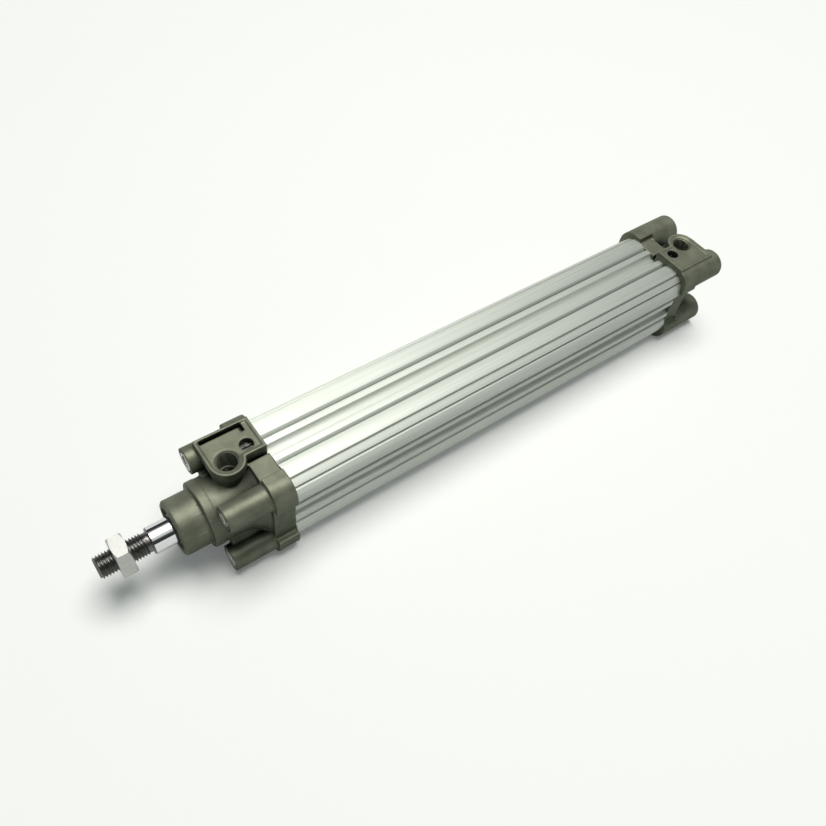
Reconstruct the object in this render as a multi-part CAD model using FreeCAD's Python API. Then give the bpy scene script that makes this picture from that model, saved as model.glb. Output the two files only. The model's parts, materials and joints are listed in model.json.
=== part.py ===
import FreeCAD, Part
import math
import os

# Double acting pneumatic cylinder with a profiled barrel and hidden tie rods, in millimetres.
# The cylinder's axis is X, the rod points along +X and the ports face +Z.
# The origin is on the axis, in the plane of the front mounting face. The rod is drawn in.

# Bore, stroke and rod
bore_d = 32.0
stroke = 200.0
stop_gap = 0.5
rod_d = 12.0
rod_shoulder_reach = 26.0
rod_edge_chamfer = 0.6
thread_d = 10.0
thread_len = 22.0
thread_undercut_len = 1.5
thread_undercut_depth = 0.7
thread_tip_chamfer = 1.0

# Lock nut on the rod's thread
lock_nut_width = 17.0
lock_nut_height = 6.0
lock_nut_gap = 8.5
lock_nut_corner_chamfer = 0.9

# Fits: radial gaps, and end gaps of rings in their grooves
running_gap = 0.03
assembly_gap = 0.02
groove_end_gap = 0.05
static_ring_gap = 0.08
piston_gap = 0.2
register_gap = 0.1

# Barrel extrusion
tie_rod_web = 3.881
lobe_reach = 5.75
lobe_corner_r = 9.6
lobe_wrap_angle = 28.0
crease_width = 1.3
crease_depth = 1.0
ledge_depth = 0.9
face_groove_r = 3.0
score_angle = 17.0
score_half_angle = 4.0
score_depth = 0.8

# Tie rods and their sleeve nuts
tie_rod_d = 5.35
tie_rod_channel_gap = 0.425
sleeve_nut_end_gap = 3.5
sleeve_nut_head_width = 8.0
sleeve_nut_head_len = 5.0
sleeve_nut_shank_d = 7.8
sleeve_nut_gap = 0.1
mount_thread_d = 5.0
mount_thread_depth = 16.0
tie_rod_end_gap = 1.0

# End cap castings
cap_len = 29.5
flange_len = 10.1
flange_overhang = 2.0
flange_corner_r = 8.0
trough_half = 12.0
trough_depth = 3.0
pillar_d = 12.0
rear_pillar_d = 15.4
web_thickness = 5.0
web_setback = 3.0
register_len = 7.0
spigot_d = 30.0
spigot_len = 4.0
spigot_chamfer = 0.4
hub_relief = 0.2
hub_flare_len = 12.0
hub_flare_rise = 5.2
hub_flare_bow = 1.6
nose_reach = 16.0
nose_wall = 2.5
nose_chamfer = 1.0
nose_groove_len = 0.7
nose_groove_depth = 0.5
rear_stub_d = 25.0
rear_stub_setback = 4.5

# Port pad on each cap
pad_proud = 1.0
pad_thickness = 5.0
pad_front = 4.7
pad_r = 7.7
pad_rim = 1.3
pad_recess = 0.6
pad_past_pillar = 1.55
pad_near_edge = 2.1
boss_inset = 1.0
port_offset = 2.6
port_thread_d = 8.57
port_thread_depth = 10.5
port_mouth_d = 10.4
port_mouth_depth = 1.0
port_drill_d = 7.0
slot_width = 1.8
slot_rim = 1.2
slot_start = 2.0
slot_end = 3.8
slot_hook = 2.6
slot_depth = 3.0
notch_width = 1.3
notch_depth = 3.0

# Cushion valve: needle screw in each cap
needle_to_barrel = 6.6
needle_offset = 5.7
needle_d = 5.4
needle_gap = 0.05
needle_sunk = 3.0
needle_body_len = 6.0
needle_seat_drop = 1.0
needle_stem_d = 2.6
needle_stem_gap = 0.3
needle_tip_len = 1.5
needle_tip_d = 1.0
needle_slot_width = 0.8
needle_slot_depth = 1.0
needle_ring_from_top = 3.4
needle_ring_len = 1.6
needle_ring_depth = 0.8
bypass_d = 1.6
bypass_well = 0.5

# Rod guide and seals
rod_seal_section = 4.0
rod_seal_len = 7.0
rod_seal_sunk = 0.5
rod_lip_len = 2.5
bush_wall = 1.0
bush_len = 16.0
cushion_wall = 2.0
cushion_front_len = 16.0
cushion_rear_len = 10.0
cushion_lead = 1.5
cushion_seal_section = 2.5
cushion_seal_len = 4.0
cushion_seal_lip = 1.0
chamber_gap = 1.2
mouth_gap = 0.6
barrel_ring_depth = 1.8
barrel_ring_len = 2.2

# Piston
piston_len = 20.0
piston_edge_chamfer = 0.6
piston_seal_land = 1.2
piston_seal_len = 3.4
piston_seal_depth = 3.6
seal_lip_depth = 1.4
seal_lip_width = 1.2
magnet_len = 3.8
magnet_depth = 5.8
magnet_sunk = 0.6
guide_len = 3.8
guide_depth = 1.6
stub_step = 1.0
stub_ring_len = 2.0
stub_ring_depth = 1.6
piston_nut_width = 13.0
piston_nut_height = 6.0
piston_nut_step = 1.0

# Cutting tools run past the faces that they open
overshoot = 1.0

# Worked out from the sizes above
bore_r = bore_d / 2
rod_r = rod_d / 2
thread_r = thread_d / 2
thread_tip = rod_shoulder_reach + thread_len
tie_rod_r = tie_rod_d / 2
channel_r = tie_rod_r + tie_rod_channel_gap
tie_rod_radius = bore_r + tie_rod_web + channel_r
mount_half = tie_rod_radius / math.sqrt(2)
barrel_half = mount_half + lobe_reach
cap_half = barrel_half + flange_overhang
trough_z = cap_half - trough_depth
pad_z = cap_half + pad_proud
register_r = bore_r - register_gap
barrel_len = stroke + piston_len + 2 * stop_gap + 2 * register_len
body_len = barrel_len + 2 * cap_len
flange_x = -(cap_len - flange_len)
register_x = -(cap_len + register_len)
pillar_places = [(sy * mount_half, sz * mount_half) for sy in (-1, 1) for sz in (-1, 1)]

rod_seal_r = rod_r + rod_seal_section
nose_r = rod_seal_r + nose_wall
bush_r = rod_r + bush_wall
bush_front_x = nose_reach - rod_seal_len
bush_back_x = bush_front_x - bush_len
sleeve_r = rod_r + cushion_wall
chamber_r = sleeve_r + chamber_gap
mouth_r = sleeve_r + mouth_gap
cushion_seal_r = sleeve_r + cushion_seal_section
cushion_seal_back = register_x + cushion_seal_lip
cushion_seal_front = cushion_seal_back + cushion_seal_len
barrel_ring_r = register_r - barrel_ring_depth
barrel_ring_x = -(cap_len + register_len / 2)

port_x = -(pad_front + pad_r)
port_y = -port_offset
pad_far_y = -(mount_half + pad_past_pillar)
pad_near_y = port_y + pad_near_edge
pad_floor_z = pad_z - pad_recess
rear_chamber_end = port_x + port_thread_d / 2
needle_x = -(cap_len - needle_to_barrel)
needle_y = -needle_offset
needle_r = needle_d / 2
needle_top = pad_z - needle_sunk
needle_shoulder = needle_top - needle_body_len
bypass_radius = (cushion_seal_r + barrel_ring_r) / 2
bypass_z = math.sqrt(bypass_radius ** 2 - needle_y ** 2)

piston_r = bore_r - piston_gap
piston_back = -body_len - register_x + stop_gap
piston_front = piston_back + piston_len
piston_split = (piston_front + piston_back) / 2
stub_r = rod_r - stub_step
piston_nut_r = stub_r - piston_nut_step
rod_shoulder_x = piston_front + cushion_front_len
sleeve_back_x = piston_back - cushion_rear_len
rod_end_x = sleeve_back_x - piston_nut_height
sleeve_nut_len = cap_len - sleeve_nut_end_gap

axis_x = FreeCAD.Vector(1, 0, 0)
axis_z = FreeCAD.Vector(0, 0, 1)
origin = FreeCAD.Vector(0, 0, 0)


def cylinder_x(radius, x_low, x_high, y=0.0, z=0.0):
    return Part.makeCylinder(radius, x_high - x_low, FreeCAD.Vector(x_low, y, z), axis_x)


def cylinder_z(radius, z_low, z_high, x, y):
    return Part.makeCylinder(radius, z_high - z_low, FreeCAD.Vector(x, y, z_low), axis_z)


def block(x_low, x_high, y_low, y_high, z_low, z_high):
    corner = FreeCAD.Vector(x_low, y_low, z_low)
    return Part.makeBox(x_high - x_low, y_high - y_low, z_high - z_low, corner)


def turned(profile):
    """Solid of revolution about X, from (x, radius) points."""
    points = [FreeCAD.Vector(x, 0, r) for x, r in profile]
    face = Part.Face(Part.makePolygon(points + points[:1]))
    return face.revolve(origin, axis_x, 360)


def ring(inner, outer, x_low, x_high):
    return turned([(x_low, inner), (x_low, outer), (x_high, outer), (x_high, inner)])


def hexagon(width, x_low, x_high, y=0.0, z=0.0):
    corner_r = width / math.sqrt(3)
    angles = [math.radians(60 * i) for i in range(6)]
    points = [FreeCAD.Vector(x_low, y + corner_r * math.cos(a), z + corner_r * math.sin(a)) for a in angles]
    face = Part.Face(Part.makePolygon(points + points[:1]))
    return face.extrude(FreeCAD.Vector(x_high - x_low, 0, 0))


def chamfered_hexagon(width, chamfer, x_low, x_high):
    """Hexagon with its corners turned off in a cone at both ends."""
    corner_r = width / math.sqrt(3)
    flat_r = width / 2
    blank = [(x_low, 0), (x_low, flat_r), (x_low + chamfer, corner_r)]
    blank += [(x_high - chamfer, corner_r), (x_high, flat_r), (x_high, 0)]
    return hexagon(width, x_low, x_high).common(turned(blank))


def rounded_square(half, corner_r, x_low, x_high):
    edges = []
    for turn in range(4):
        edges += rotated_edges(corner_edges(half, corner_r), turn)
    face = Part.Face(Part.Wire(Part.__sortEdges__(edges)))
    face.translate(FreeCAD.Vector(x_low, 0, 0))
    return face.extrude(FreeCAD.Vector(x_high - x_low, 0, 0))


def corner_edges(half, corner_r):
    """One side and one corner of a rounded square in the YZ plane."""
    centre = half - corner_r
    side = Part.LineSegment(FreeCAD.Vector(0, -centre, half), FreeCAD.Vector(0, centre, half))
    return [side.toShape(), arc_yz(centre, centre, corner_r, 90, 0)]


def point_yz(centre_y, centre_z, radius, degrees):
    a = math.radians(degrees)
    return FreeCAD.Vector(0, centre_y + radius * math.cos(a), centre_z + radius * math.sin(a))


def arc_yz(centre_y, centre_z, radius, start, end):
    middle = (start + end) / 2
    points = [point_yz(centre_y, centre_z, radius, a) for a in (start, middle, end)]
    return Part.Arc(*points).toShape()


def rotated_edges(edges, quarter_turns):
    for edge in edges:
        edge.rotate(origin, axis_x, -90 * quarter_turns)
    return edges


def at_rear(shape):
    """The rear end is the front one turned half round, with its mounting face at the far end."""
    turned_shape = shape.copy()
    turned_shape.rotate(origin, axis_z, 180)
    turned_shape.translate(FreeCAD.Vector(-body_len, 0, 0))
    return turned_shape


def barrel_quarter():
    """One face of the extrusion between its creases, with its groove, and the scored lobe beside it."""
    lobe = barrel_half - lobe_corner_r
    ledge = barrel_half - ledge_depth
    lobe_end = point_yz(lobe, lobe, lobe_corner_r, 90 + lobe_wrap_angle)
    crease = FreeCAD.Vector(0, lobe_end.y - crease_width / 2, ledge - crease_depth)
    ledge_edge = FreeCAD.Vector(0, lobe_end.y - crease_width, ledge)
    right = [FreeCAD.Vector(0, face_groove_r, ledge), ledge_edge, crease, lobe_end]
    left = [FreeCAD.Vector(0, -p.y, p.z) for p in reversed(right)]
    edges = [Part.makeLine(a, b) for a, b in zip(left, left[1:])]
    edges.append(arc_yz(0, ledge, face_groove_r, 180, 360))
    edges += [Part.makeLine(a, b) for a, b in zip(right, right[1:])]
    start = 90 + lobe_wrap_angle
    for middle in (45 + score_angle, 45 - score_angle):
        edges.append(arc_yz(lobe, lobe, lobe_corner_r, start, middle + score_half_angle))
        bottom = point_yz(lobe, lobe, lobe_corner_r - score_depth, middle)
        before = point_yz(lobe, lobe, lobe_corner_r, middle + score_half_angle)
        start = middle - score_half_angle
        after = point_yz(lobe, lobe, lobe_corner_r, start)
        edges += [Part.makeLine(before, bottom), Part.makeLine(bottom, after)]
    edges.append(arc_yz(lobe, lobe, lobe_corner_r, start, -lobe_wrap_angle))
    return edges


def barrel():
    edges = []
    for turn in range(4):
        edges += rotated_edges(barrel_quarter(), turn)
    face = Part.Face(Part.Wire(Part.__sortEdges__(edges)))
    face.translate(FreeCAD.Vector(-cap_len - barrel_len, 0, 0))
    solid = face.extrude(FreeCAD.Vector(barrel_len, 0, 0))
    low = -cap_len - barrel_len - overshoot
    high = -cap_len + overshoot
    holes = [cylinder_x(bore_r, low, high)]
    holes += [cylinder_x(channel_r, low, high, y, z) for y, z in pillar_places]
    return solid.cut(holes)


def pad_prism(inset, z_low, z_high):
    """Port pad from above: square at the pillar, round about the port, straight back to the barrel."""
    radius = pad_r - inset
    front = port_x + radius
    back = -cap_len + inset
    far = pad_far_y + inset
    near = pad_near_y - inset
    join_x = port_x - math.sqrt(radius ** 2 - (near - port_y) ** 2)
    corner = FreeCAD.Vector(front, far, z_low)
    tangent = FreeCAD.Vector(front, port_y, z_low)
    crown = FreeCAD.Vector(port_x, port_y + radius, z_low)
    join = FreeCAD.Vector(join_x, near, z_low)
    back_near = FreeCAD.Vector(back, near, z_low)
    back_far = FreeCAD.Vector(back, far, z_low)
    edges = [Part.makeLine(corner, tangent), Part.Arc(tangent, crown, join).toShape()]
    edges += [Part.makeLine(join, back_near), Part.makeLine(back_near, back_far)]
    edges.append(Part.makeLine(back_far, corner))
    face = Part.Face(Part.Wire(edges))
    return face.extrude(FreeCAD.Vector(0, 0, z_high - z_low))


def flange():
    """Square flange with a shallow trough along each side, stopped at the pad on the ported side."""
    solid = rounded_square(cap_half, flange_corner_r, -cap_len, flange_x)
    low = -cap_len - overshoot
    high = flange_x + overshoot
    troughs = []
    for turn in range(4):
        start = pad_near_y if turn == 0 else -trough_half
        trough = block(low, high, start, trough_half, trough_z, cap_half + overshoot)
        trough.rotate(origin, axis_x, 90 * turn)
        troughs.append(trough)
    notch_top = trough_z + overshoot
    notch = block(low, high, pad_near_y, pad_near_y + notch_width, trough_z - notch_depth, notch_top)
    return solid.cut(troughs + [notch])


def pillars(diameter):
    """Four mounting pillars, each tied to the hub by a web."""
    solids = [cylinder_x(diameter / 2, flange_x, 0, y, z) for y, z in pillar_places]
    for turn in range(4):
        web = block(flange_x, -web_setback, 0, tie_rod_radius, -web_thickness / 2, web_thickness / 2)
        web.rotate(origin, axis_x, 45 + 90 * turn)
        solids.append(web)
    return solids


def hub_flare(hub_r):
    """Concave sweep from the hub out to the flange."""
    front = flange_x + hub_flare_len
    low = FreeCAD.Vector(front, 0, hub_r)
    high = FreeCAD.Vector(flange_x, 0, hub_r + hub_flare_rise)
    inward = FreeCAD.Vector(-hub_flare_rise, 0, -hub_flare_len).normalize()
    middle = (low + high) * 0.5 + inward * hub_flare_bow
    foot = [low, FreeCAD.Vector(front, 0, 0), FreeCAD.Vector(flange_x, 0, 0), high]
    edges = [Part.makeLine(a, b) for a, b in zip(foot, foot[1:])]
    edges.append(Part.Arc(high, middle, low).toShape())
    return Part.Face(Part.Wire(edges)).revolve(origin, axis_x, 360)


def port_pad():
    boss_r = pad_r - boss_inset
    plate = pad_prism(0, pad_z - pad_thickness, pad_z)
    boss = cylinder_z(boss_r, 0, pad_z - pad_thickness, port_x, port_y)
    return [plate, boss]


def hooked_slot():
    """Slot along the pillar in the front cap's pad, with a short hook at the barrel end."""
    top = pad_z + overshoot
    slot_low = pad_far_y + slot_rim
    slot_high = slot_low + slot_width
    back = -cap_len + slot_end
    floor = pad_floor_z - slot_depth
    slot = block(back, -pad_front - slot_start, slot_low, slot_high, floor, top)
    hook = block(back, back + slot_width, slot_low, slot_high + slot_hook, floor, top)
    return [slot, hook]


def port_cuts():
    """Threaded port with a chamfered mouth, drilled through to the cushion chamber."""
    thread_r_port = port_thread_d / 2
    floor = pad_z - port_thread_depth
    mouth_low = pad_floor_z - port_mouth_depth
    mouth = Part.makeCone(thread_r_port, port_mouth_d / 2, port_mouth_depth,
                          FreeCAD.Vector(port_x, port_y, mouth_low), axis_z)
    thread = cylinder_z(thread_r_port, floor, pad_z + overshoot, port_x, port_y)
    drill = cylinder_z(port_drill_d / 2, chamber_r / 2, floor + overshoot, port_x, port_y)
    return [mouth, thread, drill]


def needle_cuts():
    """Stepped bore of the needle, its orifice into the chamber and the bypass from the barrel."""
    seat = needle_shoulder - needle_seat_drop
    stem_r = needle_stem_d / 2 + needle_stem_gap
    bore = cylinder_z(needle_r + needle_gap, seat, pad_z + overshoot, needle_x, needle_y)
    well = bypass_z - bypass_d / 2 - bypass_well
    stem = cylinder_z(stem_r, well, seat + overshoot, needle_x, needle_y)
    orifice = cylinder_z(bypass_d / 2, chamber_r / 2, bypass_z, needle_x, needle_y)
    bypass = cylinder_x(bypass_d / 2, register_x - overshoot, needle_x, needle_y, bypass_z)
    return [bore, stem, orifice, bypass]


def tie_rod_cuts():
    """Stepped holes through the pillars for the sleeve nuts and tie rods."""
    head_r = sleeve_nut_head_width / math.sqrt(3) + sleeve_nut_gap
    shank_r = sleeve_nut_shank_d / 2 + sleeve_nut_gap
    tools = []
    for y, z in pillar_places:
        tools.append(cylinder_x(head_r, -sleeve_nut_head_len, overshoot, y, z))
        tools.append(cylinder_x(shank_r, -sleeve_nut_len - overshoot, overshoot, y, z))
        tools.append(cylinder_x(channel_r, -cap_len - overshoot, overshoot, y, z))
    return tools


def chamber_profile():
    """Cushion chamber from its deep end to the mouth, with the cushion seal's groove."""
    mouth_x = register_x - overshoot
    profile = [(cushion_seal_front, chamber_r), (cushion_seal_front, cushion_seal_r)]
    profile += [(cushion_seal_back, cushion_seal_r), (cushion_seal_back, mouth_r)]
    return profile + [(mouth_x, mouth_r), (mouth_x, 0)]


def cap_casting(hub, hub_r, pillar_width, openings):
    """Casting shared by both ends, with its own hub, pillars and openings."""
    groove = ring(barrel_ring_r, bore_r + overshoot, barrel_ring_x - barrel_ring_len / 2,
                  barrel_ring_x + barrel_ring_len / 2)
    register = cylinder_x(register_r, register_x, flange_x).cut(groove)
    recess = pad_prism(pad_rim, pad_floor_z, pad_z + overshoot)
    solid = flange().fuse(pillars(pillar_width) + port_pad() + [hub, hub_flare(hub_r), register])
    cuts = [recess] + port_cuts() + needle_cuts() + tie_rod_cuts() + openings
    return solid.cut(cuts).removeSplitter()


def front_cap():
    spigot_r = spigot_d / 2
    groove_r = nose_r - nose_groove_depth
    groove_x = spigot_len + nose_groove_len
    hub_r = spigot_r - hub_relief
    hub = [(flange_x, 0), (flange_x, hub_r), (0, hub_r), (0, spigot_r)]
    hub += [(spigot_len - spigot_chamfer, spigot_r), (spigot_len, spigot_r - spigot_chamfer)]
    hub += [(spigot_len, groove_r), (groove_x, groove_r), (groove_x, nose_r)]
    hub += [(nose_reach - nose_chamfer, nose_r), (nose_reach, nose_r - nose_chamfer), (nose_reach, 0)]
    front = nose_reach + overshoot
    bore = [(front, 0), (front, rod_seal_r), (bush_front_x, rod_seal_r), (bush_front_x, bush_r)]
    bore += [(bush_back_x, bush_r), (bush_back_x, chamber_r)]
    return cap_casting(turned(hub), hub_r, pillar_d, [turned(bore + chamber_profile())] + hooked_slot())


def rear_cap():
    stub_cap_r = rear_stub_d / 2
    hub = [(flange_x, 0), (flange_x, stub_cap_r), (-rear_stub_setback - nose_chamfer, stub_cap_r)]
    hub += [(-rear_stub_setback, stub_cap_r - nose_chamfer), (-rear_stub_setback, 0)]
    bore = [(rear_chamber_end, 0), (rear_chamber_end, chamber_r)]
    return at_rear(cap_casting(turned(hub), stub_cap_r, rear_pillar_d, [turned(bore + chamber_profile())]))


def tie_rods():
    inset = mount_thread_depth + tie_rod_end_gap
    return [cylinder_x(tie_rod_r, -body_len + inset, -inset, y, z) for y, z in pillar_places]


def sleeve_nuts():
    """Hexagon headed sleeve nuts, tapped for the mounting screw outside and the tie rod inside."""
    nuts = []
    for y, z in pillar_places:
        head = hexagon(sleeve_nut_head_width, -sleeve_nut_head_len, 0, y, z)
        shank = cylinder_x(sleeve_nut_shank_d / 2, -sleeve_nut_len, -sleeve_nut_head_len, y, z)
        tapped = cylinder_x(mount_thread_d / 2, -mount_thread_depth - overshoot, overshoot, y, z)
        inner = cylinder_x(tie_rod_r + assembly_gap, -cap_len, -mount_thread_depth, y, z)
        nuts.append(head.fuse(shank).cut([tapped, inner]).removeSplitter())
    return nuts


def piston_rod():
    undercut_r = thread_r - thread_undercut_depth
    undercut_x = rod_shoulder_reach + thread_undercut_len
    profile = [(rod_end_x, 0), (rod_end_x, piston_nut_r), (sleeve_back_x, piston_nut_r)]
    profile += [(sleeve_back_x, stub_r), (rod_shoulder_x, stub_r), (rod_shoulder_x, rod_r)]
    profile += [(rod_shoulder_reach - rod_edge_chamfer, rod_r)]
    profile += [(rod_shoulder_reach, rod_r - rod_edge_chamfer), (rod_shoulder_reach, undercut_r)]
    profile += [(undercut_x, undercut_r), (undercut_x + thread_undercut_depth, thread_r)]
    profile += [(thread_tip - thread_tip_chamfer, thread_r), (thread_tip, thread_r - thread_tip_chamfer)]
    profile += [(thread_tip, 0)]
    return turned(profile)


def lock_nut():
    low = rod_shoulder_reach + lock_nut_gap
    high = low + lock_nut_height
    hole = cylinder_x(thread_r + running_gap, low - overshoot, high + overshoot)
    return chamfered_hexagon(lock_nut_width, lock_nut_corner_chamfer, low, high).cut(hole)


def rod_bearing():
    return ring(rod_r + running_gap, bush_r - assembly_gap, bush_back_x, bush_front_x)


def rod_wiper_seal():
    """Combined rod seal and wiper: a full body with a lip drawn out round the rod."""
    inner = rod_r + running_gap
    outer = rod_seal_r - assembly_gap
    front = nose_reach - rod_seal_sunk
    profile = [(bush_front_x, inner), (bush_front_x, outer), (front - rod_lip_len, outer)]
    profile += [(front - rod_lip_len, (inner + outer) / 2), (front, inner + rod_edge_chamfer), (front, inner)]
    return turned(profile)


def cushion_seal():
    low = cushion_seal_back + groove_end_gap
    high = cushion_seal_front - groove_end_gap
    return ring(sleeve_r + running_gap, cushion_seal_r - assembly_gap, low, high)


def barrel_o_ring():
    """Static ring, drawn as it lies squeezed in its groove."""
    half = barrel_ring_len / 2 - groove_end_gap
    inner = barrel_ring_r + static_ring_gap
    return ring(inner, bore_r - static_ring_gap, barrel_ring_x - half, barrel_ring_x + half)


def piston_half(side, face_x, seat_depth, seat_len):
    """One half of the piston, with a seal groove at its face and a ring seat at the split."""
    seal_low = face_x - side * piston_seal_land
    seal_high = seal_low - side * piston_seal_len
    seal_r = piston_r - piston_seal_depth
    seat_r = piston_r - seat_depth
    seat_x = piston_split + side * seat_len
    profile = [(face_x, stub_r + assembly_gap), (face_x, piston_r - piston_edge_chamfer)]
    profile += [(face_x - side * piston_edge_chamfer, piston_r), (seal_low, piston_r), (seal_low, seal_r)]
    profile += [(seal_high, seal_r), (seal_high, piston_r), (seat_x, piston_r), (seat_x, seat_r)]
    return profile + [(piston_split, seat_r)]


def piston_front_half():
    profile = piston_half(1, piston_front, magnet_depth, magnet_len)
    return turned(profile + [(piston_split, stub_r + assembly_gap)])


def piston_rear_half():
    ring_r = stub_r + stub_ring_depth
    ring_x = piston_split - stub_ring_len
    profile = piston_half(-1, piston_back, guide_depth, guide_len)
    profile += [(piston_split, ring_r), (ring_x, ring_r), (ring_x, stub_r + assembly_gap)]
    return turned(profile)


def piston_magnet():
    inner = piston_r - magnet_depth + assembly_gap
    low = piston_split + groove_end_gap
    return ring(inner, piston_r - magnet_sunk, low, piston_split + magnet_len - groove_end_gap)


def piston_guide_ring():
    inner = piston_r - guide_depth + running_gap
    low = piston_split - guide_len + groove_end_gap
    return ring(inner, bore_r - running_gap, low, piston_split - groove_end_gap)


def piston_seal(side, face_x):
    """Lip seal with its cup open towards the pressure."""
    inner = piston_r - piston_seal_depth + running_gap
    outer = bore_r - running_gap
    middle = (inner + outer) / 2
    lip_x = face_x - side * (piston_seal_land + groove_end_gap)
    heel_x = face_x - side * (piston_seal_land + piston_seal_len - groove_end_gap)
    cup_x = lip_x - side * seal_lip_depth
    profile = [(lip_x, inner), (lip_x, inner + seal_lip_width / 2), (cup_x, middle)]
    profile += [(lip_x, outer - seal_lip_width / 2), (lip_x, outer), (heel_x, outer), (heel_x, inner)]
    return turned(profile)


def piston_rod_o_ring():
    low = piston_split - stub_ring_len + groove_end_gap
    outer = stub_r + stub_ring_depth - assembly_gap
    return ring(stub_r + assembly_gap, outer, low, piston_split - groove_end_gap)


def cushion_sleeve(x_piston, x_lead):
    """Sleeve that closes the cushion seal, chamfered where it enters."""
    side = math.copysign(1, x_lead - x_piston)
    inner = stub_r + assembly_gap
    chamfer_x = x_lead - side * cushion_lead
    lead_r = (sleeve_r + rod_r) / 2
    profile = [(x_piston, inner), (x_piston, sleeve_r), (chamfer_x, sleeve_r)]
    profile += [(x_lead, lead_r), (x_lead, inner)]
    return turned(profile)


def piston_nut():
    hole = cylinder_x(piston_nut_r + assembly_gap, rod_end_x - overshoot, sleeve_back_x + overshoot)
    return hexagon(piston_nut_width, rod_end_x, sleeve_back_x).cut(hole)


def cushion_needle():
    """Slotted screw with a ring groove, a stem and a tapered tip in the orifice."""
    ring_high = needle_top - needle_ring_from_top
    ring_low = ring_high - needle_ring_len
    tip_high = bypass_z
    stem_r = needle_stem_d / 2
    body = cylinder_z(needle_r, needle_shoulder, needle_top, needle_x, needle_y)
    stem = cylinder_z(stem_r, tip_high, needle_shoulder, needle_x, needle_y)
    tip = Part.makeCone(needle_tip_d / 2, needle_tip_d, needle_tip_len,
                        FreeCAD.Vector(needle_x, needle_y, tip_high - needle_tip_len), axis_z)
    groove = cylinder_z(needle_r + overshoot, ring_low, ring_high, needle_x, needle_y)
    groove = groove.cut(cylinder_z(needle_r - needle_ring_depth, ring_low, ring_high, needle_x, needle_y))
    slot = block(needle_x - needle_d, needle_x + needle_d, needle_y - needle_slot_width / 2,
                 needle_y + needle_slot_width / 2, needle_top - needle_slot_depth, needle_top + overshoot)
    return body.fuse([stem, tip]).cut([groove, slot])


def needle_o_ring():
    """Ring on the needle, a running fit in the bore and round the screw."""
    middle = needle_top - needle_ring_from_top - needle_ring_len / 2
    half = needle_ring_len / 2 - groove_end_gap
    outer = cylinder_z(needle_r + needle_gap - assembly_gap, middle - half, middle + half, needle_x, needle_y)
    inner_r = needle_r - needle_ring_depth + running_gap
    return outer.cut(cylinder_z(inner_r, middle - half, middle + half, needle_x, needle_y))


def main():
    front_nuts = sleeve_nuts()
    needle = cushion_needle()
    needle_ring = needle_o_ring()
    nodes = {
        "barrel": barrel(),
        "front_cap": front_cap(),
        "rear_cap": rear_cap(),
        "tie_rods": Part.makeCompound(tie_rods()),
        "front_tie_rod_nuts": Part.makeCompound(front_nuts),
        "rear_tie_rod_nuts": Part.makeCompound([at_rear(nut) for nut in front_nuts]),
        "rod_bearing": rod_bearing(),
        "rod_wiper_seal": rod_wiper_seal(),
        "front_cushion_seal": cushion_seal(),
        "rear_cushion_seal": at_rear(cushion_seal()),
        "front_barrel_o_ring": barrel_o_ring(),
        "rear_barrel_o_ring": at_rear(barrel_o_ring()),
        "front_cushion_needle": needle,
        "rear_cushion_needle": at_rear(needle),
        "front_needle_o_ring": needle_ring,
        "rear_needle_o_ring": at_rear(needle_ring),
        "piston_rod": piston_rod(),
        "lock_nut": lock_nut(),
        "piston_front_half": piston_front_half(),
        "piston_rear_half": piston_rear_half(),
        "piston_magnet": piston_magnet(),
        "piston_guide_ring": piston_guide_ring(),
        "front_piston_seal": piston_seal(1, piston_front),
        "rear_piston_seal": piston_seal(-1, piston_back),
        "piston_rod_o_ring": piston_rod_o_ring(),
        "front_cushion_sleeve": cushion_sleeve(piston_front, rod_shoulder_x),
        "rear_cushion_sleeve": cushion_sleeve(piston_back, sleeve_back_x),
        "piston_nut": piston_nut(),
    }
    os.makedirs("parts", exist_ok=True)
    for name, shape in nodes.items():
        shape.exportStep("parts/" + name + ".step")
        print(name, len(shape.Solids), "solids", round(shape.Volume, 1), "mm3", "valid", shape.isValid())


main()
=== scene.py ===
import bmesh
import bpy
import json
import math
from mathutils import Matrix, Vector


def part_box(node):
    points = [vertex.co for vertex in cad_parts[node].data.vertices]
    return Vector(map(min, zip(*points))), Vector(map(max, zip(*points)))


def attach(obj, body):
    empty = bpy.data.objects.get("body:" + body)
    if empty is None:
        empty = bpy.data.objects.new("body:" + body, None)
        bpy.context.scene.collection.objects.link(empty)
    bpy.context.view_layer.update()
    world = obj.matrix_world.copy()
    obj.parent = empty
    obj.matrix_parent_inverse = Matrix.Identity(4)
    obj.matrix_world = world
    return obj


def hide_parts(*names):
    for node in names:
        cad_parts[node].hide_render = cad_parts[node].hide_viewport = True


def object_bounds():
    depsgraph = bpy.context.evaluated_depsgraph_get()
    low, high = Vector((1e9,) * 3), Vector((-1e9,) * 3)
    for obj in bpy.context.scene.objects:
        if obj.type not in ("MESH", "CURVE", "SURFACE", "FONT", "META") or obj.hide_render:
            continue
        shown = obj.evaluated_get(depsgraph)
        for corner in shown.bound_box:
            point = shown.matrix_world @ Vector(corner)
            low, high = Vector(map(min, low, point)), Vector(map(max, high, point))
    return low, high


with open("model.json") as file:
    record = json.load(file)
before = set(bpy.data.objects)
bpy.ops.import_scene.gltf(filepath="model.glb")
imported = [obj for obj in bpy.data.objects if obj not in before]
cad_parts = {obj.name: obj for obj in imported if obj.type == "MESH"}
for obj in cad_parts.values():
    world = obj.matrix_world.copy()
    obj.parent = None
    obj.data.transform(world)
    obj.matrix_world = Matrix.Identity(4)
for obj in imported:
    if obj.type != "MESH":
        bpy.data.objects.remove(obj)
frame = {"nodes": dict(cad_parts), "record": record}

scene = bpy.context.scene
scene.view_settings.view_transform = "Standard"
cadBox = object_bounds()
nodes = frame["nodes"]
record = frame["record"]
mounts = {mount["name"]: mount for mount in record["mounts"]}
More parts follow.
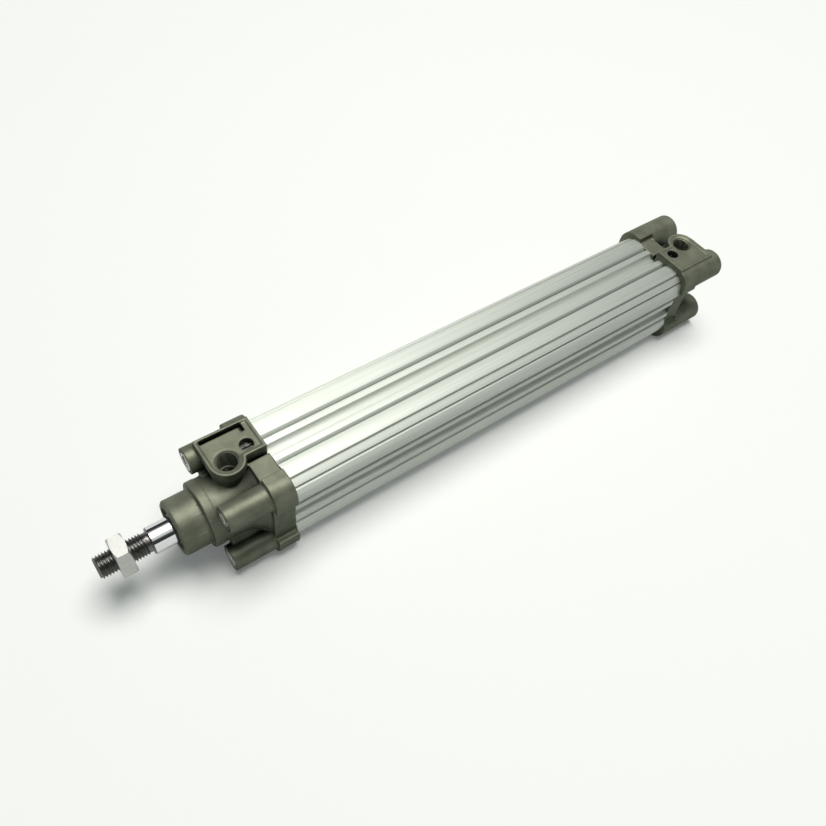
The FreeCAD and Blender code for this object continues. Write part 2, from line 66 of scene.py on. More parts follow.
boltHalf = mounts["front_mounting_holes"]["dims"]["spacing_x_mm"] / 2  # the tie rods stand there too
mm = 0.001
weldGap = 0.001 * mm


# Node helpers shared by the finishes

grainLook = {"roughness": 0.55, "tintFrom": 0.35, "tintTo": 0.65, "spreadFrom": 0.3, "spreadTo": 0.7}
evenGrain = (1, 1, 1)


def newFinish(name):
    material = bpy.data.materials.new(name)
    material.use_nodes = True
    tree = material.node_tree
    return material, tree, tree.nodes["Principled BSDF"]


def grain(tree, size, stretch=evenGrain, detail=4.0):
    # noise with features of about size millimetres, drawn out along an axis by a small stretch
    place = tree.nodes.new("ShaderNodeTexCoord")
    mapping = tree.nodes.new("ShaderNodeMapping")
    mapping.inputs["Scale"].default_value = stretch
    noise = tree.nodes.new("ShaderNodeTexNoise")
    noise.inputs["Scale"].default_value = 1 / (size * mm)
    noise.inputs["Detail"].default_value = detail
    noise.inputs["Roughness"].default_value = grainLook["roughness"]
    tree.links.new(place.outputs["Object"], mapping.inputs["Vector"])
    tree.links.new(mapping.outputs["Vector"], noise.inputs["Vector"])
    return noise.outputs["Fac"]


def tint(tree, source, dark, light):
    ramp = tree.nodes.new("ShaderNodeValToRGB")
    low, high = ramp.color_ramp.elements
    low.position = grainLook["tintFrom"]
    high.position = grainLook["tintTo"]
    low.color = (*dark, 1)
    high.color = (*light, 1)
    tree.links.new(source, ramp.inputs["Fac"])
    return ramp.outputs["Color"]


def ranged(tree, source, fromLow, fromHigh, toLow=0.0, toHigh=1.0):
    span = tree.nodes.new("ShaderNodeMapRange")
    span.inputs["From Min"].default_value = fromLow
    span.inputs["From Max"].default_value = fromHigh
    span.inputs["To Min"].default_value = toLow
    span.inputs["To Max"].default_value = toHigh
    tree.links.new(source, span.inputs["Value"])
    return span.outputs["Result"]


def spread(tree, source, low, high):
    return ranged(tree, source, grainLook["spreadFrom"], grainLook["spreadTo"], low, high)


def relief(tree, source, depth, strength=0.5):
    bump = tree.nodes.new("ShaderNodeBump")
    bump.inputs["Distance"].default_value = depth * mm
    bump.inputs["Strength"].default_value = strength
    tree.links.new(source, bump.inputs["Height"])
    return bump.outputs["Normal"]


def mixColours(tree, share, first, second):
    mix = tree.nodes.new("ShaderNodeMix")
    mix.data_type = "RGBA"
    tree.links.new(share, mix.inputs["Factor"])
    tree.links.new(first, mix.inputs["A"])
    mix.inputs["B"].default_value = (*second, 1)
    return mix.outputs["Result"]


def edgeShare(tree, start, full, most):
    # how far a surface bends outwards at an edge: 0.5 is flat and more is an edge
    bent = tree.nodes.new("ShaderNodeNewGeometry").outputs["Pointiness"]
    return ranged(tree, bent, start, full, toHigh=most)


def hollowShare(tree, reach, start, full):
    # how far a surface is closed in by its own piece within a reach in millimetres, as deep in a groove; the
    # finishes use it to paint shade there
    shade = tree.nodes.new("ShaderNodeAmbientOcclusion")  # gives 1 in the open and less in a hollow
    shade.only_local = True
    shade.samples = 12
    shade.inputs["Distance"].default_value = reach * mm
    return ranged(tree, shade.outputs["AO"], start, full)


# Finishes

anodisedLook = {"dark": (0.565, 0.598, 0.55), "light": (0.645, 0.68, 0.625), "lineSize": 0.7,
                "lineStretch": (0.004, 1, 1), "lineDetail": 5, "lineDepth": 0.008, "patchSize": 18,
                "patchStretch": (0.25, 1, 1), "patchDetail": 3, "rough": (0.55, 0.63), "metal": 0.7,
                "drawn": 0.76, "crease": (0.045, 0.06, 0.052), "creaseReach": 4.5, "creaseFrom": 0.80,
                "creaseFull": 0.25}


def anodisedExtrusion(look):
    material, tree, shader = newFinish("anodisedExtrusion")
    # die lines run along the barrel
    lines = grain(tree, look["lineSize"], look["lineStretch"], look["lineDetail"])
    patches = grain(tree, look["patchSize"], look["patchStretch"], look["patchDetail"])
    drawn = tint(tree, lines, look["dark"], look["light"])
    # painted shade: where the barrel closes in on itself, in its creases and grooves, the colour is darkened
    # towards a dark teal
    paintedShadeShare = hollowShare(tree, look["creaseReach"], look["creaseFrom"], look["creaseFull"])
    tree.links.new(mixColours(tree, paintedShadeShare, drawn, look["crease"]), shader.inputs["Base Color"])
    tree.links.new(spread(tree, patches, *look["rough"]), shader.inputs["Roughness"])
    tree.links.new(relief(tree, lines, look["lineDepth"]), shader.inputs["Normal"])
    shader.inputs["Metallic"].default_value = look["metal"]
    shader.inputs["Anisotropic"].default_value = look["drawn"]
    around = tree.nodes.new("ShaderNodeTangent")  # die lines spread the light around the profile
    around.direction_type = "RADIAL"
    around.axis = "X"
    tree.links.new(around.outputs["Tangent"], shader.inputs["Tangent"])
    return material


castLook = {"dark": (0.138, 0.146, 0.108), "light": (0.194, 0.204, 0.153), "cloudSize": 7, "cloudDetail": 5,
            "grain": 0.45, "grainDetail": 3, "grainDepth": 0.04, "grainStrength": 0.6, "rough": (0.41, 0.53),
            "metal": 0.46, "gloss": 0.25, "edgeTint": (0.25, 0.31, 0.28),
            "rubbed": (0.295, 0.302, 0.248), "rubbedFrom": 0.55, "rubbedFull": 0.63, "rubbedMost": 0.45,
            "hollowShade": (0.010, 0.012, 0.010), "hollowReach": 8.0, "hollowFrom": 0.62, "hollowFull": 0.20}


def castCoating(look):
    material, tree, shader = newFinish("castBronzeGrey")
    fine = grain(tree, look["grain"], detail=look["grainDetail"])
    clouds = grain(tree, look["cloudSize"], detail=look["cloudDetail"])
    body = tint(tree, clouds, look["dark"], look["light"])
    edges = edgeShare(tree, look["rubbedFrom"], look["rubbedFull"], look["rubbedMost"])
    worn = mixColours(tree, edges, body, look["rubbed"])
    # painted shade: in the cap's hollows, recesses and inner corners the colour is darkened to near black
    paintedShadeShare = hollowShare(tree, look["hollowReach"], look["hollowFrom"], look["hollowFull"])
    tree.links.new(mixColours(tree, paintedShadeShare, worn, look["hollowShade"]), shader.inputs["Base Color"])
    tree.links.new(spread(tree, fine, *look["rough"]), shader.inputs["Roughness"])
    tree.links.new(relief(tree, fine, look["grainDepth"], look["grainStrength"]), shader.inputs["Normal"])
    shader.inputs["Metallic"].default_value = look["metal"]
    shader.inputs["Specular IOR Level"].default_value = look["gloss"]
    shader.inputs["Specular Tint"].default_value = (*look["edgeTint"], 1)
    return material


# colours, grain size in millimetres and its stretch where it has one, roughness range, relief in millimetres
metalLooks = {
    "hardChrome": {"dark": (0.62, 0.63, 0.64), "light": (0.70, 0.71, 0.72), "grain": 0.5,
                   "stretch": (6, 0.3, 0.3), "rough": (0.05, 0.11), "depth": 0.001},
    "rolledThread": {"dark": (0.115, 0.115, 0.11), "light": (0.175, 0.175, 0.165), "grain": 1.4,
                     "rough": (0.26, 0.36), "depth": 0.004},
    "brightZinc": {"dark": (0.47, 0.475, 0.455), "light": (0.55, 0.555, 0.53), "grain": 1.6,
                   "rough": (0.48, 0.58), "depth": 0.003},
    "zincSteel": {"dark": (0.34, 0.34, 0.315), "light": (0.46, 0.46, 0.43), "grain": 1.0,
                  "rough": (0.24, 0.38), "depth": 0.006},
    "sinteredBronze": {"dark": (0.36, 0.24, 0.11), "light": (0.52, 0.37, 0.19), "grain": 0.25,
                       "rough": (0.35, 0.55), "depth": 0.02},
    # needle steel: dark partly as its blackened finish and partly as painted shade for the well it sits in
    "blackenedSteelAndShade": {"dark": (0.11, 0.11, 0.10), "light": (0.20, 0.20, 0.18), "grain": 0.4,
                       "stretch": (0.3, 0.3, 6), "rough": (0.16, 0.26), "depth": 0.003},
    "turnedAluminium": {"dark": (0.62, 0.62, 0.62), "light": (0.74, 0.74, 0.74), "grain": 0.4,
                        "stretch": (6, 0.3, 0.3), "rough": (0.22, 0.36), "depth": 0.005},
}
mouldedLooks = {
    "sealRubber": {"dark": (0.016, 0.016, 0.016), "light": (0.032, 0.032, 0.031), "grain": 0.5,
                   "rough": (0.42, 0.62), "depth": 0.02},
    "bondedFerrite": {"dark": (0.05, 0.05, 0.055), "light": (0.09, 0.09, 0.095), "grain": 0.3,
                      "rough": (0.5, 0.7), "depth": 0.02},
    "guidePlastic": {"dark": (0.62, 0.60, 0.52), "light": (0.72, 0.70, 0.62), "grain": 0.8,
                     "rough": (0.36, 0.5), "depth": 0.01},
}


def grainedFinish(name, look, metal):
    material, tree, shader = newFinish(name)
    marks = grain(tree, look["grain"], look.get("stretch", evenGrain))
    tree.links.new(tint(tree, marks, look["dark"], look["light"]), shader.inputs["Base Color"])
    tree.links.new(spread(tree, marks, *look["rough"]), shader.inputs["Roughness"])
    tree.links.new(relief(tree, marks, look["depth"]), shader.inputs["Normal"])
    shader.inputs["Metallic"].default_value = metal
    return material


finishes = {"anodisedExtrusion": anodisedExtrusion(anodisedLook), "castBronzeGrey": castCoating(castLook)}
finishes.update({name: grainedFinish(name, look, metal=1.0) for name, look in metalLooks.items()})
finishes.update({name: grainedFinish(name, look, metal=0.0) for name, look in mouldedLooks.items()})

slotFinishes = {"anodised_barrel": "anodisedExtrusion", "cast_caps": "castBronzeGrey",
                "zinc_steel": "zincSteel", "zinc_nut": "brightZinc", "chromed_rod": "hardChrome",
                "bearing_bronze": "sinteredBronze", "needle_steel": "blackenedSteelAndShade",
                "seal_rubber": "sealRubber", "piston_aluminium": "turnedAluminium",
                "magnet_compound": "bondedFerrite", "guide_plastic": "guidePlastic"}
for subpart in record["subparts"]:
    mesh = nodes[subpart["node"]].data
    mesh.materials.clear()
    mesh.materials.append(finishes[slotFinishes[subpart["material_slot"]]])
print("finishes made:", len(finishes))


# Mesh helpers, with sizes in millimetres

def meshFrom(bm, name):
    bmesh.ops.recalc_face_normals(bm, faces=bm.faces)
    mesh = bpy.data.meshes.new(name)
    bm.to_mesh(mesh)
    bm.free()
    return mesh


def meshObject(name, mesh, finishNames, sharpAngle):
    # smooth shaded, with edges from the sharp angle up kept crisp
    for finishName in finishNames:
        mesh.materials.append(finishes[finishName])
    mesh.shade_smooth()
    mesh.set_sharp_from_angle(angle=math.radians(sharpAngle))
    piece = bpy.data.objects.new(name, mesh)
    scene.collection.objects.link(piece)
    return piece


def roundedPath(corners, steps):
    # open path of (y, z, radius) corners, each rounded by an arc
    points = [Vector(corners[0][:2])]
    for before, corner, after in zip(corners, corners[1:], corners[2:]):
        middle = Vector(corner[:2])
        toBefore = (Vector(before[:2]) - middle).normalized()
        toAfter = (Vector(after[:2]) - middle).normalized()
        half = toBefore.angle(toAfter) / 2
        centre = middle + (toBefore + toAfter).normalized() * corner[2] / math.sin(half)
        reach = corner[2] / math.tan(half)
        start = middle + toBefore * reach - centre
        end = middle + toAfter * reach - centre
        turn = math.atan2(start.x * end.y - start.y * end.x, start.dot(end))
        for step in range(steps + 1):
            angle = turn * step / steps
            c, s = math.cos(angle), math.sin(angle)
            points.append(centre + Vector((start.x * c - start.y * s, start.x * s + start.y * c)))
    return points + [Vector(corners[-1][:2])]


def circle(radius, y, z, segments):
    angles = [2 * math.pi * i / segments for i in range(segments)]
    return [Vector((y + radius * math.cos(a), z + radius * math.sin(a))) for a in angles]


def extruded(name, loops, xLow, xHigh):
    # loops in the YZ plane, the first one the outline and the rest holes
    bm = bmesh.new()
    for loop in loops:
        low = [bm.verts.new((xLow * mm, p.x * mm, p.y * mm)) for p in loop]
        high = [bm.verts.new((xHigh * mm, p.x * mm, p.y * mm)) for p in loop]
        for i in range(len(loop)):
            j = (i + 1) % len(loop)
            bm.faces.new((low[i], low[j], high[j], high[i]))
    for x in (xLow * mm, xHigh * mm):
        rim = [e for e in bm.edges if all(abs(v.co.x - x) < weldGap for v in e.verts)]
        bmesh.ops.triangle_fill(bm, use_beauty=True, edges=rim)
    return meshFrom(bm, name)


def turnedRows(bm, rows, segments, closed, place):
    # rings of vertices along X; a row is (x, radius), where the radius may depend on the angle
    rings = []
    for x, radius in rows:
        ring = []
        for i in range(segments):
            angle = 2 * math.pi * i / segments
            r = radius(angle) if callable(radius) else radius
            point = Vector((x * mm, r * math.cos(angle) * mm, r * math.sin(angle) * mm))
            ring.append(bm.verts.new(place @ point))
        rings.append(ring)
    pairs = list(zip(rings, rings[1:]))
    if closed:
        pairs.append((rings[-1], rings[0]))
    else:
        bm.faces.new(rings[0])
        bm.faces.new(rings[-1])
    for ring, nextRing in pairs:
        for i in range(segments):
            j = (i + 1) % segments
            bm.faces.new((ring[i], ring[j], nextRing[j], nextRing[i]))


def threadShape(x, angle, pitch):
    # 0 on the crest and 1 in the root of a right-handed 60 degree thread
    crest, root = 0.125, 0.25  # widths of the flats as shares of the pitch
    phase = (x / pitch - angle / (2 * math.pi)) % 1
    slope = (abs(phase - 0.5) * 2 - crest) / (1 - crest - root)
    return min(max(slope, 0.0), 1.0)


def rowsBetween(low, high, step):
    count = max(2, round(abs(high - low) / step))
    return [low + (high - low) * i / count for i in range(count + 1)]


def applyModifiers(piece):
    bpy.context.view_layer.update()
    shaped = piece.evaluated_get(bpy.context.evaluated_depsgraph_get())
    mesh = bpy.data.meshes.new_from_object(shaped)
    piece.modifiers.clear()
    piece.data = mesh


def dress(piece, body, slot, *replaced):
    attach(piece, body)
    if replaced:
        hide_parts(*replaced)


# Barrel: profile with rounded lips, a groove down each face and score lines on the lobes

barrelLook = {"lobeRadius": 9.6, "lobeWrap": 25.0, "lobeStep": 3, "creaseWidth": 2.4, "creaseDepth": 1.7,
              "ledgeDepth": 0.9, "grooveRadius": 3.0, "lipRound": 0.25, "arcSteps": 6,
              "scoreAngles": (64.0, 37.0), "scoreHalf": 4.5, "scoreDepth": 0.95, "pointGap": 0.01,
              "boreRadius": 16.0, "boreSegments": 96, "channelRadius": 3.1, "channelSegments": 32,
              "sharpAngle": 28}


def barrelOutline(look, half):
    lobe = half - look["lobeRadius"]
    ledge = half - look["ledgeDepth"]
    groove, lip = look["grooveRadius"], look["lipRound"]

    def onLobe(angle, inset=0.0):
        a = math.radians(angle)
        reach = look["lobeRadius"] - inset
        return Vector((lobe + reach * math.cos(a), lobe + reach * math.sin(a)))

    lobeEnd = onLobe(90 + look["lobeWrap"])
    creaseY = lobeEnd.x - look["creaseWidth"] / 2
    ledgeY = lobeEnd.x - look["creaseWidth"]
    left = [(-lobeEnd.x, lobeEnd.y, 0), (-creaseY, ledge - look["creaseDepth"], lip / 2)]
    left += [(-ledgeY, ledge, lip), (-groove, ledge, lip), (-groove, ledge - groove, groove - lip)]
    quarter = roundedPath(left + [(-y, z, r) for y, z, r in reversed(left)], look["arcSteps"])
    high, low = look["scoreAngles"]
    outline = []
    for turn in range(4):
        scores = (90 - low, 90 - high) if turn % 2 else (high, low)  # mirrored from lobe to lobe
        stops = [90 + look["lobeWrap"]]
        for middle in scores:
            stops += [middle + look["scoreHalf"], middle - look["scoreHalf"]]
        stops.append(-look["lobeWrap"])
        points = list(quarter)
        for i in range(0, len(stops), 2):
            points += [onLobe(angle) for angle in rowsBetween(stops[i], stops[i + 1], look["lobeStep"])]
            if i + 2 < len(stops):
                points.append(onLobe((stops[i + 1] + stops[i + 2]) / 2, look["scoreDepth"]))
        spin = Matrix.Rotation(-math.pi / 2 * turn, 2)
        outline += [spin @ point for point in points]
    kept = [outline[0]]
    for point in outline[1:]:
        if min((point - kept[-1]).length, (point - kept[0]).length) > look["pointGap"]:
            kept.append(point)
    return kept


def buildBarrel(look):
    low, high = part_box("barrel")
    loops = [barrelOutline(look, high.z / mm), circle(look["boreRadius"], 0, 0, look["boreSegments"])]
    for y in (-boltHalf, boltHalf):
        for z in (-boltHalf, boltHalf):
            loops.append(circle(look["channelRadius"], y, z, look["channelSegments"]))
    mesh = extruded("barrelProfile", loops, low.x / mm, high.x / mm)
    piece = meshObject("barrelProfile", mesh, ["anodisedExtrusion"], look["sharpAngle"])
    dress(piece, "cylinder_body", "anodised_barrel", "barrel")
    print("barrel built:", len(mesh.polygons), "faces")


buildBarrel(barrelLook)


# End caps: the castings with their edges softened, and a thread cut in each port

capLook = {"voxel": 0.32, "softShare": 0.5, "softPasses": 3, "keptFaces": 0.42, "borerSegments": 64,
           "borerOver": 2, "padFloor": 24.4, "portFloor": 14.7, "portBore": 5.25, "needleBody": 6.0,
           "needleDrop": 0.8, "needleRoom": 0.25, "stemBore": 1.6}
portLook = {"sleeveRadius": 5.8, "mouthRadius": 5.2, "mouthDeep": 1.0, "threadDepth": 0.58, "pitch": 0.907,
            "sunk": 0.12, "pitchRows": 8, "segments": 60, "sharpAngle": 60}
alongZ = Matrix.Rotation(math.radians(-90), 4, "Y")


def borer(name, look, rows, x, y):
    bm = bmesh.new()
    turnedRows(bm, rows, look["borerSegments"], False, Matrix.Translation((x, y, 0)) @ alongZ)
    tool = bpy.data.objects.new(name, meshFrom(bm, name))
    scene.collection.objects.link(tool)
    return tool


def portBorer(look, port):
    rows = [(look["portFloor"], look["portBore"]), (look["padFloor"] + look["borerOver"], look["portBore"])]
    return borer("portBorer", look, rows, port.x, port.y)


def needleBorer(look, needle):
    # room for the needle to turn and travel in its well
    low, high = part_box(needle)
    bore = (high.x - low.x) / 2 / mm + look["needleRoom"]
    stem = look["stemBore"] + look["needleRoom"]
    shoulder = high.z / mm - look["needleBody"] - look["needleDrop"]
    rows = [(low.z / mm - look["needleDrop"], stem), (shoulder, stem)]
    rows += [(shoulder, bore), (look["padFloor"] + look["borerOver"], bore)]
    return borer("needleBorer", look, rows, (low.x + high.x) / 2, (low.y + high.y) / 2)


def softCasting(node, name, look, port, needle):
    mesh = nodes[node].data.copy()
    mesh.materials.clear()
    piece = bpy.data.objects.new(name, mesh)
    scene.collection.objects.link(piece)
    piece.modifiers.new("weld", "WELD").merge_threshold = weldGap
    tools = [portBorer(look, port), needleBorer(look, needle)]
    for tool in tools:
        opening = piece.modifiers.new(tool.name, "BOOLEAN")
        opening.object = tool
        opening.operation = "DIFFERENCE"
        opening.solver = "EXACT"
    applyModifiers(piece)
    for tool in tools:
        bpy.data.objects.remove(tool)
    remesh = piece.modifiers.new("remesh", "REMESH")
    remesh.mode = "VOXEL"
    remesh.voxel_size = look["voxel"] * mm
    soften = piece.modifiers.new("soften", "SMOOTH")
    soften.factor = look["softShare"]
    soften.iterations = look["softPasses"]
    piece.modifiers.new("thin", "DECIMATE").ratio = look["keptFaces"]
    applyModifiers(piece)
    piece.data.materials.clear()
    piece.data.materials.append(finishes["castBronzeGrey"])
    piece.data.shade_smooth()
    dress(piece, "cylinder_body", "cast_caps", node)
    print(name, "softened:", len(piece.data.polygons), "faces")


def portThread(name, look, mount, floor, rim):
    port = Vector(mount["pos_m"])
    minor = mount["dims"]["r_mm"]
    top = rim - look["sunk"]
    coneLow = rim - look["mouthDeep"]
    flare = (look["mouthRadius"] - minor) / look["mouthDeep"]

    def threaded(z):
        cone = minor + (z - coneLow) * flare
        return lambda angle: max(cone, minor + look["threadDepth"] * threadShape(z, angle, look["pitch"]))

    rows = [(z, threaded(z)) for z in rowsBetween(floor, top, look["pitch"] / look["pitchRows"])]
    rows += [(top, look["sleeveRadius"]), (floor, look["sleeveRadius"])]
    bm = bmesh.new()
    turnedRows(bm, rows, look["segments"], True, Matrix.Translation((port.x, port.y, 0)) @ alongZ)
    piece = meshObject(name, meshFrom(bm, name), ["castBronzeGrey"], look["sharpAngle"])
    dress(piece, "cylinder_body", "cast_caps")


for end in ("front", "rear"):
    portMount = mounts[end + "_port"]
    softCasting(end + "_cap", end + "Casting", capLook, Vector(portMount["pos_m"]), end + "_cushion_needle")
    portThread(end + "PortThread", portLook, portMount, capLook["portFloor"], capLook["padFloor"])
print("end caps built")


# Sleeve nuts in the pillars: hexagon heads, tapped for the mounting screws

nutLook = {"headWidth": 8.0, "headLen": 5.0, "headChamfer": 0.5, "chamferFlat": 0.2, "chamferSlope": 1.2,
           "chamferStep": 0.12, "shankRadius": 3.9, "length": 26.0, "innerRadius": 2.7, "threadDepth": 0.5,
           "pitch": 1.0, "pitchRows": 6, "tapDeep": 16.0, "mouthChamfer": 0.6, "segments": 36,
           "sharpAngle": 32}


def hexRadius(width, angle):
    return width / 2 / math.cos((angle + math.pi / 6) % (math.pi / 3) - math.pi / 6)


def sleeveNut(bm, look, minor, place):
    def head(x):
        cone = look["headWidth"] / 2 + look["chamferFlat"] - x * look["chamferSlope"]
        return lambda angle: min(cone, hexRadius(look["headWidth"], angle))

    def tapped(x):
        cone = minor + look["mouthChamfer"] + x
        return lambda angle: max(cone, minor + look["threadDepth"] * threadShape(x, angle, look["pitch"]))

    rows = [(x, tapped(x)) for x in rowsBetween(-look["tapDeep"], 0, look["pitch"] / look["pitchRows"])]
    rows += [(x, head(x)) for x in rowsBetween(0, -look["headChamfer"], look["chamferStep"])]
    rows += [(-look["headLen"], head(-look["headLen"])), (-look["headLen"], look["shankRadius"])]
    rows += [(-look["length"], look["shankRadius"]), (-look["length"], look["innerRadius"])]
    rows += [(-look["tapDeep"], look["innerRadius"])]
    turnedRows(bm, rows, look["segments"], True, place)


def sleeveNuts(name, node, look, mount, halfTurns):
    face = Matrix.Translation(mount["pos_m"]) @ Matrix.Rotation(math.pi * halfTurns, 4, "Z")
    bm = bmesh.new()
    for y in (-boltHalf, boltHalf):
        for z in (-boltHalf, boltHalf):
            place = face @ Matrix.Translation((0, y * mm, z * mm))
            sleeveNut(bm, look, mount["dims"]["hole_r_mm"], place)
    piece = meshObject(name, meshFrom(bm, name), ["zincSteel"], look["sharpAngle"])
    dress(piece, "cylinder_body", "zinc_steel", node)


sleeveNuts("frontSleeveNuts", "front_tie_rod_nuts", nutLook, mounts["front_mounting_holes"], 0)
sleeveNuts("rearSleeveNuts", "rear_tie_rod_nuts", nutLook, mounts["rear_mounting_holes"], 1)
print("sleeve nuts built")


# Piston rod: chromed bar with a rolled thread at its end

rodLook = {"threadLen": 22.0, "undercut": 1.5, "undercutRadius": 4.3, "rodRadius": 6.0, "rodChamfer": 0.6,
           "threadDepth": 0.767, "pitch": 1.25, "pitchRows": 12, "tipChamfer": 1.0, "stubRadius": 5.0,
           "stubLen": 46.0, "endRadius": 4.0, "endLen": 6.0, "segments": 72, "sharpAngle": 40}


def buildRod(look):
    low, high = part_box("piston_rod")
    back, tip = low.x / mm, high.x / mm
    shoulder = tip - look["threadLen"]
    chamfer = shoulder - look["rodChamfer"]
    threadStart = shoulder + look["undercut"]
    stubStart = back + look["endLen"]
    stubEnd = stubStart + look["stubLen"]
    major = mounts["rod_end_thread"]["dims"]["r_mm"]
    depth = look["threadDepth"]
    root = major - depth

    def threaded(x):
        runIn = look["undercutRadius"] + (x - threadStart)
        tipCone = major - (x - tip + look["tipChamfer"])
        envelope = min(runIn, tipCone, major)
        return lambda angle: min(envelope, root + depth * (1 - threadShape(x, angle, look["pitch"])))

    rows = [(back, look["endRadius"]), (stubStart, look["endRadius"]), (stubStart, look["stubRadius"])]
    rows += [(stubEnd, look["stubRadius"]), (stubEnd, look["rodRadius"]), (chamfer, look["rodRadius"])]
    rows += [(shoulder, look["rodRadius"] - look["rodChamfer"]), (shoulder, look["undercutRadius"])]
    rows += [(x, threaded(x)) for x in rowsBetween(threadStart, tip, look["pitch"] / look["pitchRows"])]
    bm = bmesh.new()
    turnedRows(bm, rows, look["segments"], False, Matrix.Identity(4))
    mesh = meshFrom(bm, "pistonRod")
    piece = meshObject("pistonRod", mesh, ["hardChrome", "rolledThread"], look["sharpAngle"])
    for face in mesh.polygons:
        face.material_index = 1 if face.center.x > chamfer * mm else 0
    dress(piece, "rod_and_piston", "chromed_rod", "piston_rod")
    print("rod built:", len(mesh.polygons), "faces")


buildRod(rodLook)


# Solids that keep their own shape get a fine edge round

edgeLook = {"segments": 2, "sharpAngle": 25,
            "widths": {"lock_nut": 0.12, "front_cushion_needle": 0.08, "rear_cushion_needle": 0.08,
                       "rod_wiper_seal": 0.1}}
for node, width in edgeLook["widths"].items():
    solid = nodes[node]
    solid.modifiers.new("weld", "WELD").merge_threshold = weldGap
    edge = solid.modifiers.new("edgeRound", "BEVEL")
    edge.width = width * mm
    edge.segments = edgeLook["segments"]
    edge.limit_method = "ANGLE"
    edge.angle_limit = math.radians(edgeLook["sharpAngle"])
    edge.harden_normals = True
print("edges rounded:", len(edgeLook["widths"]))


# Floor and studio light, with places in metres

studioLook = {"floorColour": (0.97, 0.975, 0.96), "floorRough": 0.75, "floorBounce": (0.055, 0.092, 0.083),
              "floorMiddle": (-0.12, 0), "floorSize": 6.0, "glowNear": 0.12, "glowFrom": 0.40, "glowTo": 1.2,
              "fill": (0.055, 0.088, 0.08), "tilt": 0.02,
              # height in the tilted tent, from the horizon at 0 to straight up at 1, and its colour there
              "tent": ((0.28, (1.0, 1.0, 1.0)), (0.33, (0.04, 0.052, 0.048)), (0.70, (0.04, 0.052, 0.048)),
                       (0.87, (0.92, 0.92, 0.89))),
              "keyPlace": (-0.40, -0.15, 2.0), "keyAim": (-0.12, 0.0, 0.0), "keySize": 1.5, "keyPower": 43.5,
              "keyColour": (1.0, 0.985, 0.95)}


def seenDirectly(tree):
    # 1 for what the camera sees, also in metal, and 0 for the light that surfaces send to each other
    path = tree.nodes.new("ShaderNodeLightPath")
    either = path.outputs["Is Camera Ray"]
    for kind in ("Is Glossy Ray", "Is Transmission Ray"):
        both = tree.nodes.new("ShaderNodeMath")
        both.operation = "MAXIMUM"
        tree.links.new(either, both.inputs[0])
        tree.links.new(path.outputs[kind], both.inputs[1])
        either = both.outputs["Value"]
    return either


def mixShaders(tree, share, first, second):
    mix = tree.nodes.new("ShaderNodeMixShader")
    tree.links.new(share, mix.inputs["Fac"])
    tree.links.new(first, mix.inputs[1])
    tree.links.new(second, mix.inputs[2])
    return mix.outputs["Shader"]


def buildFloor(look):
    middle = (*look["floorMiddle"], cadBox[0].z)
    bpy.ops.mesh.primitive_plane_add(size=look["floorSize"], location=middle)
    floor = bpy.context.object
    floor.name = "paleFloor"
    material, tree, shader = newFinish("paleFloor")
    shader.inputs["Base Color"].default_value = (*look["floorColour"], 1)
    shader.inputs["Roughness"].default_value = look["floorRough"]
    bounce = tree.nodes.new("ShaderNodeBsdfDiffuse")
    bounce.inputs["Color"].default_value = (*look["floorBounce"], 1)
    glow = tree.nodes.new("ShaderNodeEmission")
    place = tree.nodes.new("ShaderNodeTexCoord")
    away = tree.nodes.new("ShaderNodeVectorMath")
    away.operation = "LENGTH"
    tree.links.new(place.outputs["Object"], away.inputs["Vector"])
    # the floor turns white well away from the part
    white = ranged(tree, away.outputs["Value"], look["glowFrom"], look["glowTo"], look["glowNear"])
    pale = mixShaders(tree, white, shader.outputs["BSDF"], glow.outputs["Emission"])
    seen = mixShaders(tree, seenDirectly(tree), bounce.outputs["BSDF"], pale)
    tree.links.new(seen, tree.nodes["Material Output"].inputs["Surface"])
    floor.data.materials.append(material)


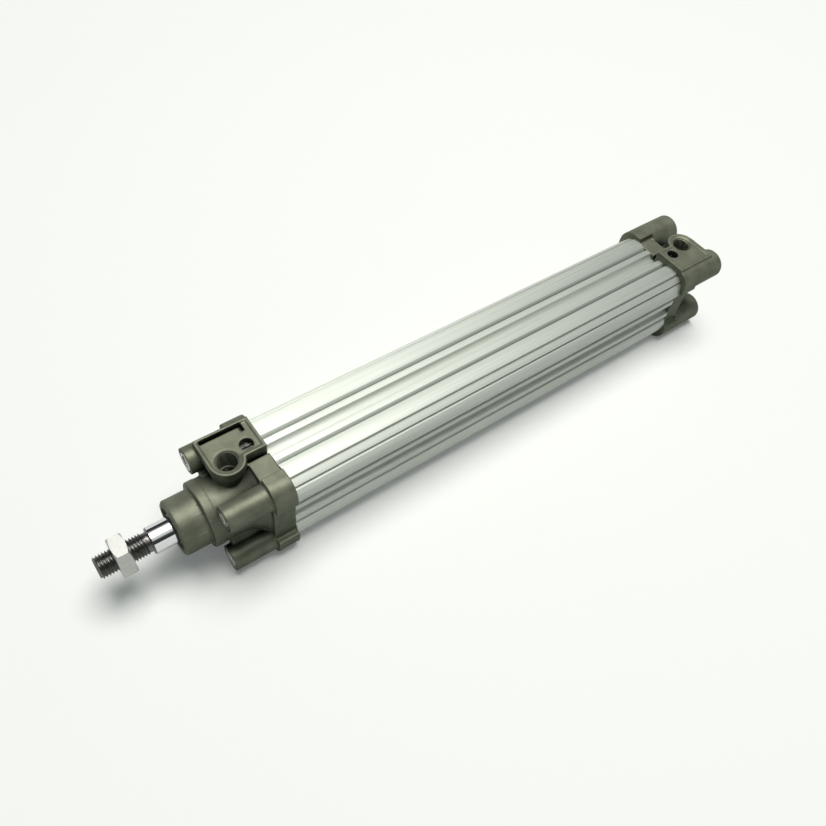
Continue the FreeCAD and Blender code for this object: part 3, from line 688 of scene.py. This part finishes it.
def buildWorld(look):
    world = bpy.data.worlds.new("studioTent")
    scene.world = world
    world.use_nodes = True
    tree = world.node_tree
    place = tree.nodes.new("ShaderNodeTexCoord")
    tilted = tree.nodes.new("ShaderNodeVectorMath")
    tilted.operation = "DOT_PRODUCT"
    tilted.inputs[1].default_value = (0, look["tilt"], 1)
    tree.links.new(place.outputs["Generated"], tilted.inputs[0])
    rings = tree.nodes.new("ShaderNodeValToRGB")
    stops = rings.color_ramp.elements
    while len(stops) < len(look["tent"]):
        stops.new(1.0)
    for stop, (height, colour) in zip(stops, look["tent"]):
        stop.position = height
        stop.color = (*colour, 1)
    tree.links.new(tilted.outputs["Value"], rings.inputs["Fac"])
    tent = tree.nodes["Background"]
    tree.links.new(rings.outputs["Color"], tent.inputs["Color"])
    fill = tree.nodes.new("ShaderNodeBackground")
    fill.inputs["Color"].default_value = (*look["fill"], 1)
    seen = mixShaders(tree, seenDirectly(tree), fill.outputs["Background"], tent.outputs["Background"])
    tree.links.new(seen, tree.nodes["World Output"].inputs["Surface"])


def buildKey(look):
    light = bpy.data.lights.new("keyBox", "AREA")
    light.shape = "DISK"
    light.size = look["keySize"]
    light.energy = look["keyPower"]
    light.color = look["keyColour"]
    lamp = bpy.data.objects.new("keyBox", light)
    lamp.location = look["keyPlace"]
    toAim = Vector(look["keyAim"]) - Vector(look["keyPlace"])
    lamp.rotation_euler = toAim.to_track_quat("-Z", "Y").to_euler()
    lamp.visible_camera = False
    scene.collection.objects.link(lamp)


buildFloor(studioLook)
buildWorld(studioLook)
buildKey(studioLook)
print("floor and light set")


# Camera: its place in millimetres, and which ways the picture's right and down point

cameraLook = {"place": (51.435, 167.722, 292.601), "right": (-0.80394, 0.58687, 0.09617),
              "down": (0.42263, 0.67758, -0.60189), "focalPixels": 787.55, "imagePixels": 826,
              "sensorWidth": 36, "clipStart": 0.01}


def buildCamera(look):
    camera = bpy.data.cameras.new("photoCamera")
    camera.sensor_width = look["sensorWidth"]
    camera.lens = look["focalPixels"] / look["imagePixels"] * look["sensorWidth"]
    camera.clip_start = look["clipStart"]
    holder = bpy.data.objects.new("photoCamera", camera)
    right = Vector(look["right"]).normalized()
    up = -Vector(look["down"])
    up = (up - right * up.dot(right)).normalized()
    turn = Matrix((right, up, right.cross(up))).transposed().to_4x4()
    holder.matrix_world = Matrix.Translation(Vector(look["place"]) * mm) @ turn
    scene.collection.objects.link(holder)
    scene.camera = holder


buildCamera(cameraLook)
print("camera set")
